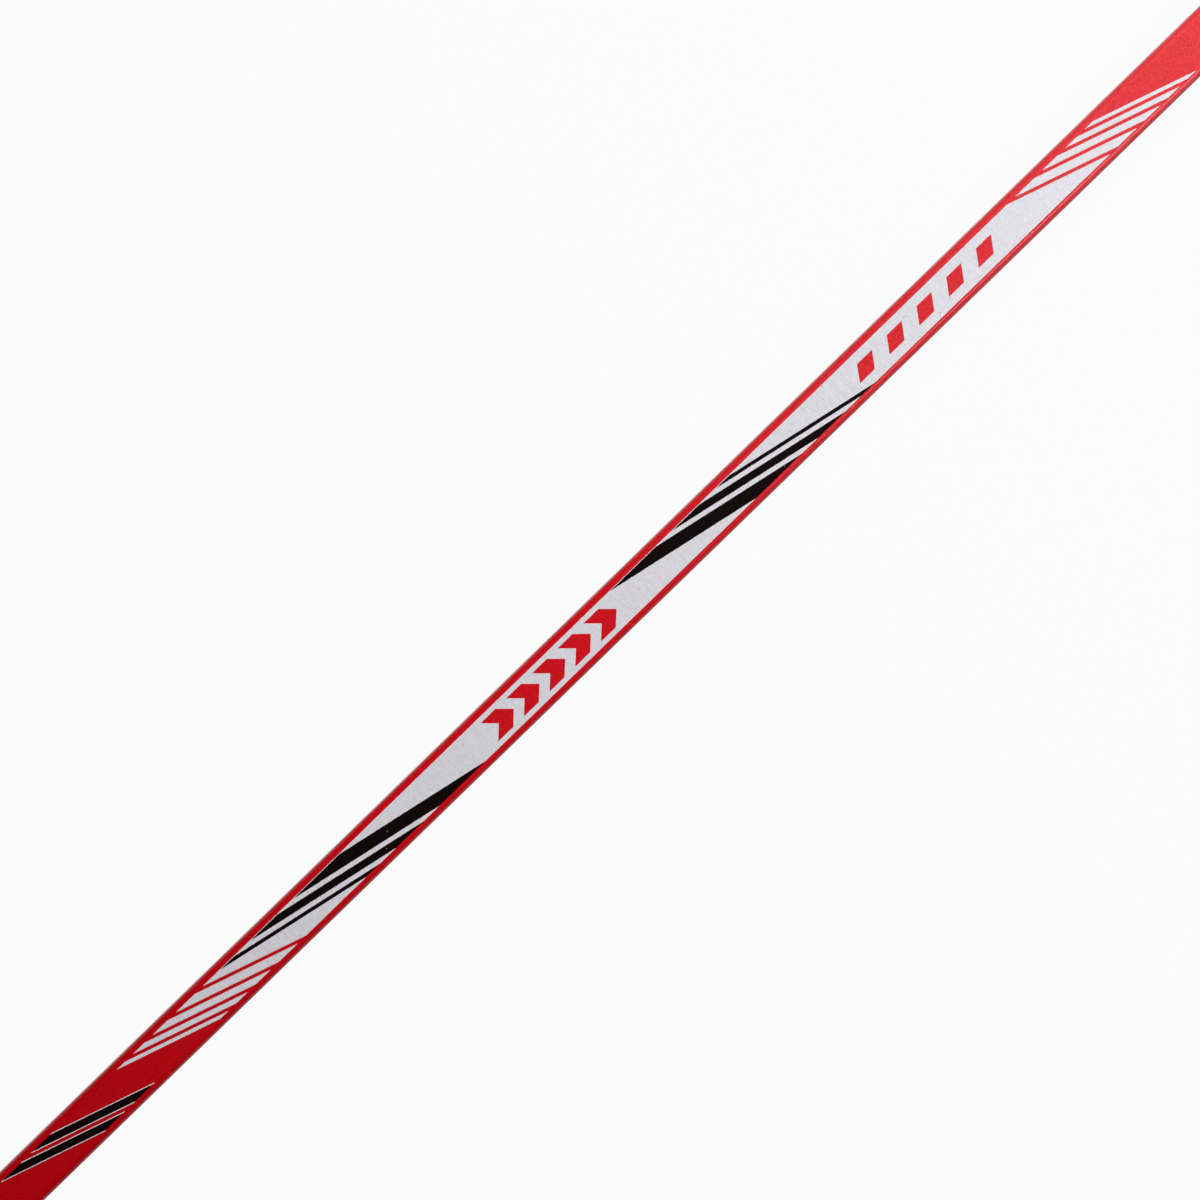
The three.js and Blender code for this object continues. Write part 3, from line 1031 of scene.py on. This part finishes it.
# %% [markdown]
# The two bold stripes lie on red, so each gets a white plate a little longer than itself, which shows as
# its outline. The stripes of the fans lean further, and their widths step up towards the arrows. The
# black screen sat a hair too low, so a thin pale line shows above each black stripe of the panel.

# %% Black stripes
BOLD_STRIPES = [-355 * MM, -333 * MM]
BOLD_STRIPE_LENGTH = 13 * MM
OUTLINE_LENGTH = 1.4 * MM
HAIRLINE = 0.3 * MM
FAN_SLANT = -90 * MM
FAN_LENGTHS = [10 * MM, 20 * MM, 34 * MM]
FAN_GAP = 12 * MM
TIP_FAN_START = -162 * MM
BUTT_FAN_START = 126 * MM

black_plates = []
for start in BOLD_STRIPES:
    outline_start = start - OUTLINE_LENGTH
    outline_length = BOLD_STRIPE_LENGTH + 2 * OUTLINE_LENGTH
    white_plates.append(ink_plate(outline_start, outline_length, STRIPE_SLANT))
    black_plates.append(ink_plate(start, BOLD_STRIPE_LENGTH, STRIPE_SLANT, layer=1))
on_pale = {"height": PRINT_WIDTH - HAIRLINE, "drop": HAIRLINE / 2, "layer": 1}
black_plates += stripe_row(TIP_FAN_START, FAN_LENGTHS, FAN_GAP, FAN_SLANT, **on_pale)
black_plates += stripe_row(BUTT_FAN_START, FAN_LENGTHS[::-1], FAN_GAP, FAN_SLANT, **on_pale)
print("Black stripes:", len(black_plates))

# %% [markdown]
# Red marks fill the two stretches of the panel that have no stripes. The arrows are upright plates whose
# middle is pushed towards the butt, and the bars are slanted a little.

# %% Red marks
ARROW_START = -62 * MM
ARROW_LENGTH = 11 * MM
ARROW_PITCH = 19 * MM
ARROW_POINT = 7 * MM
ARROW_HEIGHT = 13.5 * MM
ARROW_COUNT = 5
BAR_START = 208 * MM
BAR_LENGTH = 11 * MM
BAR_PITCH = 22 * MM
BAR_SLANT = 6 * MM
BAR_HEIGHT = 8.5 * MM
BAR_COUNT = 5

red_plates = []
for number in range(ARROW_COUNT):
    start = ARROW_START + number * ARROW_PITCH
    red_plates.append(
        ink_plate(start, ARROW_LENGTH, 0, height=ARROW_HEIGHT, point=ARROW_POINT, layer=1)
    )
for number in range(BAR_COUNT):
    start = BAR_START + number * BAR_PITCH
    red_plates.append(ink_plate(start, BAR_LENGTH, BAR_SLANT, height=BAR_HEIGHT, layer=1))
print("Red marks:", len(red_plates))

# %% [markdown]
# Each ink is one pass of the press, so all plates of one colour are joined into one piece. The other
# face carries the same print, turned over with the film.

# %% Lay the inks
def print_layer(plates, name, material):
    """Joins the plates of one ink into one piece, and repeats it on the back."""
    bpy.ops.object.select_all(action="DESELECT")
    for plate in plates:
        plate.select_set(True)
    bpy.context.view_layer.objects.active = plates[0]
    bpy.ops.object.join()
    front = settle(plates[0], f"{name}_front", material)
    back = turned_copy(front, f"{name}_back")
    for piece in (front, back):
        belongs(piece, "print_film")


plate_count = len(white_plates) + len(black_plates) + len(red_plates)
print_layer(white_plates, "silver_white_ink", silver_white_ink)
print_layer(black_plates, "black_ink", black_ink_finish)
print_layer(red_plates, "red_ink", red_ink_finish)
print("Printed", plate_count, "areas on each face")

# %% [markdown]
# ## Tip and cap
#
# Both ends are mouldings over a wooden tongue: a sleeve that continues the shaft's section, then
# grooves, then a rounded end. The tip's grooves grip the ring, and the cap's grooves grip the glove.
# A lathe can't make them, because they aren't round, so a rounded rectangle is extruded step by step
# along the stick and resized at each step.
#
# First come the steps. Each is a distance from the mouth of the sleeve, and how far the section is drawn
# in there. The sides of a groove lean a little, the draft that lets a moulding out of its mould.

# %% Steps of a moulding
DOME_STEPS = 8


def groove_steps(start, count, pitch, width, depth, draft):
    """(distance from the mouth, inset) at the corners of each groove in a row."""
    steps = []
    for number in range(count):
        near = start + number * pitch
        far = near + width
        steps += [(near, 0), (near + draft, depth), (far - draft, depth), (far, 0)]
    return steps


def dome_steps(length, reach, inset):
    """(distance from the mouth, inset) along the rounding that closes the end."""
    steps = []
    for number in range(DOME_STEPS + 1):
        angle = math.pi / 2 * number / DOME_STEPS
        steps.append((length - reach * (1 - math.sin(angle)), inset * (1 - math.cos(angle))))
    return steps


print("Each rounded end has", DOME_STEPS, "steps")

# %% [markdown]
# The section at the mouth has the shaft's corners, drawn in by a small lip, so that the moulding meets
# the shaft without an edge that would catch. It starts as a plane, stood up across the stick.

# %% Mouth of a moulding
MOUTH_LIP = 0.5 * MM


def mouth_plate(mouth_x, width, thickness):
    """A rounded rectangle across the stick, in edit mode with everything selected."""
    bpy.ops.object.select_all(action="DESELECT")
    bpy.ops.mesh.primitive_plane_add(
        size=1, location=(mouth_x, 0, cad_high.z / 2), rotation=(0, math.pi / 2, 0)
    )
    plate = bpy.context.object
    plate.scale = (thickness, width, 1)
    bpy.ops.object.transform_apply(location=True, rotation=True, scale=True)
    edit(plate)
    bpy.ops.mesh.select_all(action="SELECT")
    radius = CORNER_RADIUS - MOUTH_LIP
    bpy.ops.mesh.bevel(offset=radius, segments=CORNER_SEGMENTS, affect="VERTICES")
    bpy.ops.mesh.select_all(action="SELECT")
    return plate


print("The mouth is drawn in by", MOUTH_LIP / MM, "mm")

# %% [markdown]
# One function makes both mouldings, because they differ only in sizes. The extrusion ends in the dome.
# Then the mouth's face is inset by the wall and pushed in, which leaves the socket for the wooden tongue,
# and all sharp edges get a small rounding.

# %% Moulded ends
SOCKET_WALL = 3.1 * MM
EDGE_ROUNDING = 0.25 * MM
ROUNDING_SEGMENTS = 3


def moulded_end(mouth_x, direction, mouth, end, steps, socket_depth):
    """A moulded sleeve from its mouth to its rounded end. mouth and end are (width, thickness)."""
    steps = [(MOUTH_LIP, 0)] + steps
    length = steps[-1][0]

    def size_at(distance, inset):
        share = distance / length
        return [m + (e - m) * share - 2 * inset for m, e in zip(mouth, end)]

    place = 0
    width, thickness = size_at(place, MOUTH_LIP)
    piece = mouth_plate(mouth_x, width, thickness)
    for distance, inset in steps:
        new_width, new_thickness = size_at(distance, inset)
        step = direction * (distance - place)
        bpy.ops.mesh.extrude_region_move(TRANSFORM_OT_translate={"value": (step, 0, 0)})
        bpy.ops.transform.resize(
            value=(1, new_width / width, new_thickness / thickness),
            center_override=(mouth_x + direction * distance, 0, cad_high.z / 2),
        )
        place, width, thickness = distance, new_width, new_thickness

    pick("faces", lambda f: abs(middle(f).x - mouth_x) < SAME_PLACE)
    bpy.ops.mesh.inset(thickness=SOCKET_WALL - MOUTH_LIP, use_even_offset=True)
    socket = (direction * socket_depth, 0, 0)
    bpy.ops.mesh.extrude_region_move(TRANSFORM_OT_translate={"value": socket})
    bpy.ops.mesh.select_all(action="SELECT")
    bpy.ops.mesh.normals_make_consistent(inside=False)
    bpy.ops.object.mode_set(mode="OBJECT")
    use(
        piece,
        "BEVEL",
        width=EDGE_ROUNDING,
        segments=ROUNDING_SEGMENTS,
        limit_method="ANGLE",
        angle_limit=SMOOTH_ANGLE,
        use_clamp_overlap=True,
    )
    return piece


shaft_thickness = shaft_high.z - shaft_low.z
print("Both mouths are", round(shaft_thickness / MM, 2), "mm thick, with a wall of", SOCKET_WALL / MM)

# %% [markdown]
# **The tip** starts at the neck's width and narrows to a blunt nose. Eight grooves ring the nose, where
# it stands in the ring. The plain part behind them takes the two screws.

# %% Grooved tip
TIP_END = (19 * MM, 14.6 * MM)
TIP_SOCKET_DEPTH = 44.3 * MM

tip_low, tip_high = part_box("tip")
tip_grooves = groove_steps(
    start=47.7 * MM, count=8, pitch=4.1 * MM, width=1.9 * MM, depth=1.1 * MM, draft=0.5 * MM
)
tip_dome = dome_steps(length=tip_high.x - tip_low.x, reach=6.5 * MM, inset=5.4 * MM)
tip = moulded_end(
    mouth_x=tip_high.x,
    direction=-1,
    mouth=(NECK_WIDTH, shaft_thickness),
    end=TIP_END,
    steps=tip_grooves + tip_dome,
    socket_depth=TIP_SOCKET_DEPTH,
)
settle(tip, "grooved_tip", nylon)
print("Tip:", len(tip.data.polygons), "faces")

# %% [markdown]
# **The cap** keeps almost the shaft's size. Its four grooves are shallow, as rubber grips by itself,
# and its end is nearly flat, so that the stick can stand on it.

# %% Ribbed cap
CAP_END = (26 * MM, 17 * MM)
CAP_SOCKET_DEPTH = 34.3 * MM

cap_low, cap_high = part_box("butt_cap")
cap_grooves = groove_steps(
    start=8 * MM, count=4, pitch=4.4 * MM, width=1.8 * MM, depth=0.7 * MM, draft=0.4 * MM
)
cap_dome = dome_steps(length=cap_high.x - cap_low.x, reach=3.4 * MM, inset=3.2 * MM)
cap = moulded_end(
    mouth_x=cap_low.x,
    direction=1,
    mouth=(shaft_high.y - shaft_low.y, shaft_thickness),
    end=CAP_END,
    steps=cap_grooves + cap_dome,
    socket_depth=CAP_SOCKET_DEPTH,
)
settle(cap, "ribbed_cap", rubber)
belongs(cap, "cap_rubber", "butt_cap")
print("Cap:", len(cap.data.polygons), "faces")

# %% [markdown]
# ## The two screws
#
# A countersunk wood screw is turned: a flat head over a cone, a plain neck, then a thread that bites.
# So it is a rod of rings, each with a distance below the head's top and a radius. The thread is a stack
# of ridges. A true helix would look the same at this size, with many more faces.

# %% Rings of a screw
HEAD_RADIUS = 3.3 * MM
HEAD_EDGE = 0.3 * MM
HEAD_DEPTH = 2.1 * MM
CORE_RADIUS = 1.15 * MM
CREST_RADIUS = 1.75 * MM
THREAD_TURN = 1.4 * MM
SCREW_LENGTH = 12 * MM
POINT_LENGTH = 2.6 * MM
POINT_RADIUS = 0.08 * MM

thread_start = HEAD_DEPTH + THREAD_TURN
thread_end = SCREW_LENGTH - POINT_LENGTH
screw_rings = [(HEAD_EDGE, HEAD_RADIUS), (HEAD_DEPTH, CORE_RADIUS)]
for number in range(int((thread_end - thread_start) / THREAD_TURN)):
    ridge = thread_start + number * THREAD_TURN
    screw_rings += [(ridge, CORE_RADIUS), (ridge + THREAD_TURN / 2, CREST_RADIUS)]
screw_rings += [(thread_end, CORE_RADIUS), (SCREW_LENGTH, POINT_RADIUS)]
print("A screw has", len(screw_rings), "rings")

# %% [markdown]
# The rod is a disc that is extruded down and resized ring by ring. A spin of the outline would give the
# same, but this needs no closing of seams. The same function makes the cutters for the screw holes.

# %% Turned rods
ROD_SIDES = 48


def turned_rod(top, rings):
    """A rod that hangs down from the middle of its top, ring by ring."""
    bpy.ops.object.select_all(action="DESELECT")
    radius = rings[0][1]
    bpy.ops.mesh.primitive_circle_add(
        vertices=ROD_SIDES, radius=radius, fill_type="NGON", location=top
    )
    rod = bpy.context.object
    bpy.ops.object.transform_apply(location=True, rotation=True, scale=True)
    edit(rod)
    bpy.ops.mesh.select_all(action="SELECT")
    place = 0
    for distance, new_radius in rings:
        step = (0, 0, place - distance)
        bpy.ops.mesh.extrude_region_move(TRANSFORM_OT_translate={"value": step})
        factor = new_radius / radius
        bpy.ops.transform.resize(
            value=(factor, factor, 1), center_override=(top.x, top.y, top.z - distance)
        )
        place, radius = distance, new_radius
    bpy.ops.mesh.select_all(action="SELECT")
    bpy.ops.mesh.normals_make_consistent(inside=False)
    bpy.ops.object.mode_set(mode="OBJECT")
    return rod


def cut_away(piece, cutter):
    """Cuts one piece out of another, and removes the cutter."""
    use(piece, "BOOLEAN", object=cutter, operation="DIFFERENCE", solver="EXACT")
    bpy.data.objects.remove(cutter)


print("Rods have", ROD_SIDES, "sides")

# %% [markdown]
# The cross recess is the one part of a screw that isn't round, so two wedges are cut out of the head.
# The screw at the back is made the same way up, and then turned over with a copy.

# %% Screws
RECESS_SPAN = 3.6 * MM
RECESS_WIDTH = 0.9 * MM
RECESS_DEPTH = 1.3 * MM
RECESS_FOOT_SHARE = 0.55


def screw(top, name):
    """A countersunk cross-head screw, with its head's top at a place."""
    rod = turned_rod(top, screw_rings)
    for span in ((RECESS_SPAN, RECESS_WIDTH), (RECESS_WIDTH, RECESS_SPAN)):
        reach = Vector((span[0] / 2, span[1] / 2, RECESS_DEPTH))
        wedge = add_block(top - reach, top + reach)
        edit(wedge)
        pick("verts", lambda v: v.co.z < top.z)
        foot = (RECESS_FOOT_SHARE, RECESS_FOOT_SHARE, 1)
        bpy.ops.transform.resize(value=foot, center_override=top)
        bpy.ops.object.mode_set(mode="OBJECT")
        cut_away(rod, wedge)
    return settle(rod, name, zinc_plate)


front_low, front_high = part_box("tip_screw_front")
back_low, back_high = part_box("tip_screw_back")
front_top = Vector(((front_low.x + front_high.x) / 2, 0, front_high.z))
back_top = Vector(((back_low.x + back_high.x) / 2, 0, cad_high.z - back_low.z))
front_screw = screw(front_top, "screw_front")
back_blank = screw(back_top, "screw_back_blank")
back_screw = turned_copy(back_blank, "screw_back")
bpy.data.objects.remove(back_blank)
belongs(front_screw, "screw_steel", "tip_screw_front")
belongs(back_screw, "screw_steel", "tip_screw_back")
print("Screws:", len(front_screw.data.polygons), "faces each")

# %% [markdown]
# The tip has a countersunk hole for each screw. A rod a little larger than the screw makes the hole, so
# the head sits in it with a thin dark line all round, as a real one does. The cutter starts above the
# surface, because a Boolean is unsure about faces that lie in one plane.

# %% Screw holes in the tip
SEAT_GAP = 0.3 * MM
SEAT_OVERRUN = 2 * MM

seat_rings = [
    (SEAT_OVERRUN, HEAD_RADIUS + SEAT_GAP),
    (SEAT_OVERRUN + HEAD_EDGE + SEAT_GAP, HEAD_RADIUS + SEAT_GAP),
    (SEAT_OVERRUN + HEAD_DEPTH + SEAT_GAP, CREST_RADIUS + SEAT_GAP),
    (SEAT_OVERRUN + SCREW_LENGTH + SEAT_GAP, CREST_RADIUS + SEAT_GAP),
]
overrun = Vector((0, 0, SEAT_OVERRUN))
cut_away(tip, turned_rod(front_top + overrun, seat_rings))
upright = turned_rod(back_top + overrun, seat_rings)
cut_away(tip, turned_copy(upright, "seat_cutter"))
bpy.data.objects.remove(upright)
settle(tip, "grooved_tip", nylon)
belongs(tip, "tip_nylon", "tip")
print("Tip with its holes:", len(tip.data.polygons), "faces")
